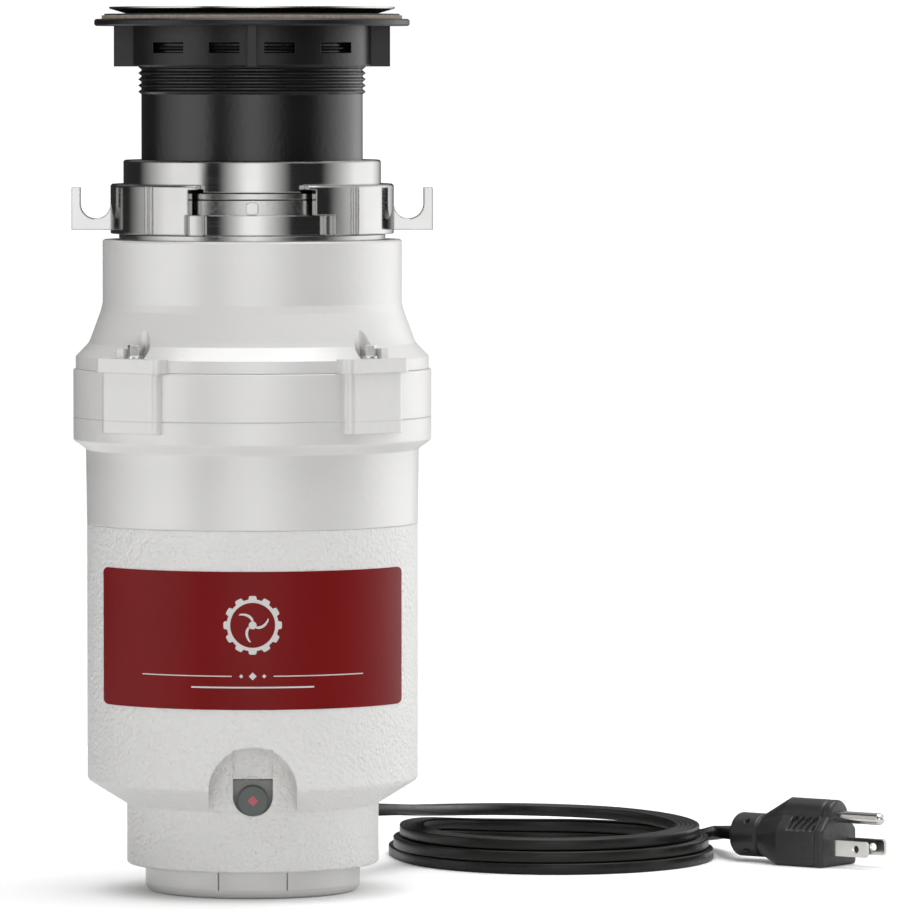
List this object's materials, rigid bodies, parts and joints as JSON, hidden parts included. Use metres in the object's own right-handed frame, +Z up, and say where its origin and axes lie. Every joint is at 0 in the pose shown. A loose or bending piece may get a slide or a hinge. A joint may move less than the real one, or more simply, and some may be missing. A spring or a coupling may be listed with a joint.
{
  "type": "kitchen garbage disposal",
  "caption": "Under-sink food waste disposal with a twist-lock mount ring, a threaded sink tail, a grinding turntable, a motor housing, and a flat mains cord coiled beside it with its plug.",
  "frame": {"origin": "centre of the flat base, on the floor that it stands on", "axes": "+Z up along the motor shaft towards the sink, -Y towards the front with the label and the reset button, +X to the right seen from the front"},
  "size_m": [0.3232, 0.28, 0.343],
  "materials": {
    "white_smooth": "smooth moulded white, satin gloss",
    "white_textured": "white paint with an orange-peel texture",
    "black_plastic": "moulded black, satin",
    "stainless": "spun stainless steel, fine circular brushing",
    "chrome_plate": "bright chrome plate",
    "grey_metal": "die-cast, as cast and lightly blasted",
    "rubber_black": "moulded rubber, matt",
    "fibre": "pressed tan fibre",
    "steel": "turned steel",
    "zinc_screw": "zinc plated",
    "grind_steel": "stainless steel, machined",
    "lamination": "stacked electrical steel",
    "magnet": "sintered ferrite",
    "copper": "enamelled copper wire and bar",
    "bronze": "sintered bronze",
    "carbon": "pressed carbon",
    "phenolic": "phenolic moulding",
    "reset_grey": "grey moulding",
    "button_grey": "dark grey-green moulding",
    "mark_red": "red inlay",
    "label_red": "printed vinyl label, satin",
    "cord_black": "ribbed flat cord jacket, matt",
    "plug_black": "moulded plug, fine grain",
    "nickel": "nickel plated"
  },
  "bodies": {
    "root": {"base_cap": "white_smooth", "base_screws": "zinc_screw", "body_gasket": "rubber_black", "bracket_screws": "zinc_screw", "brush_holder_a": "phenolic", "brush_holder_b": "phenolic", "cord_coil": "cord_black", "cord_run": "cord_black", "cord_tail": "cord_black", "cushion_mount": "rubber_black", "dishwasher_plug": "white_smooth", "drain_chamber": "white_smooth", "field_magnets": "magnet", "flux_ring": "steel", "front_label": "label_red", "grind_ring": "grind_steel", "ground_screw": "zinc_screw", "hopper": "white_smooth", "hopper_collar": "grey_metal", "housing_screws": "zinc_screw", "lead_wires": "cord_black", "lock_flange": "grey_metal", "lower_bearing": "bronze", "motor_bracket": "grey_metal", "motor_cover": "white_smooth", "motor_shell": "white_textured", "overload_protector": "phenolic", "plug_blades": "nickel", "plug_body": "plug_black", "plug_ground_pin": "nickel", "rectifier": "phenolic", "reset_bezel": "reset_grey", "rubber_gasket": "rubber_black", "shaft_seal": "rubber_black", "sink_flange_rim": "stainless", "sink_flange_tail": "black_plastic", "strain_relief": "black_plastic", "upper_bearing": "bronze"},
    "rotor": {"motor_shaft": "steel", "turntable": "grind_steel", "impeller_pins": "steel", "turntable_nut": "steel", "slinger": "rubber_black", "armature_core": "lamination", "armature_windings": "copper", "commutator": "copper"},
    "impeller_arm_a": {"impeller_a": "grind_steel"},
    "impeller_arm_b": {"impeller_b": "grind_steel"},
    "reset_plunger": {"reset_button": "button_grey", "reset_mark": "mark_red"},
    "twist_ring": {"mount_ring": "chrome_plate"},
    "nut_carrier": {"fibre_gasket": "fibre"},
    "nut": {"support_nut": "black_plastic"},
    "guard": {"splash_guard": "rubber_black"},
    "brush_carriage_a": {"brush_a": "carbon", "brush_spring_a": "steel"},
    "brush_carriage_b": {"brush_b": "carbon", "brush_spring_b": "steel"}
  },
  "joints": [
    {"name": "rotor_spin", "type": "hinge", "parent": "root", "child": "rotor", "pos_m": [0, 0, 0.2], "axis": [0, 0, 1], "continuous": true},
    {"name": "impeller_a_swing", "type": "hinge", "parent": "rotor", "child": "impeller_arm_a", "pos_m": [0.036, 0, 0.21], "axis": [0, 0, 1], "continuous": true},
    {"name": "impeller_b_swing", "type": "hinge", "parent": "rotor", "child": "impeller_arm_b", "pos_m": [-0.036, 0, 0.21], "axis": [0, 0, 1], "continuous": true},
    {"name": "ring_twist", "type": "hinge", "parent": "root", "child": "twist_ring", "pos_m": [0, 0, 0.265], "axis": [0, 0, 1], "range_deg": [0, 46]},
    {"name": "nut_drop", "type": "slide", "parent": "root", "child": "nut_carrier", "axis": [0, 0, 1], "range_m": [-0.0095, 0]},
    {"name": "nut_turn", "type": "hinge", "parent": "nut_carrier", "child": "nut", "pos_m": [0, 0, 0.33], "axis": [0, 0, 1], "range_deg": [-1424.99, 0]},
    {"name": "guard_lift", "type": "slide", "parent": "root", "child": "guard", "axis": [0, 0, 1], "range_m": [0, 0.04]},
    {"name": "reset_trip", "type": "slide", "parent": "root", "child": "reset_plunger", "axis": [0, -1, 0], "range_m": [0, 0.003]},
    {"name": "brush_a_slide", "type": "slide", "parent": "root", "child": "brush_carriage_a", "axis": [1, 0, 0], "range_m": [0, 0.003], "stiffness_N_per_m": 250},
    {"name": "brush_b_slide", "type": "slide", "parent": "root", "child": "brush_carriage_b", "axis": [-1, 0, 0], "range_m": [0, 0.003], "stiffness_N_per_m": 250}
  ],
  "couplings": [
    {"joint": "nut_drop", "follows": "nut_turn", "m_per_rad": 0.00038197}
  ]
}
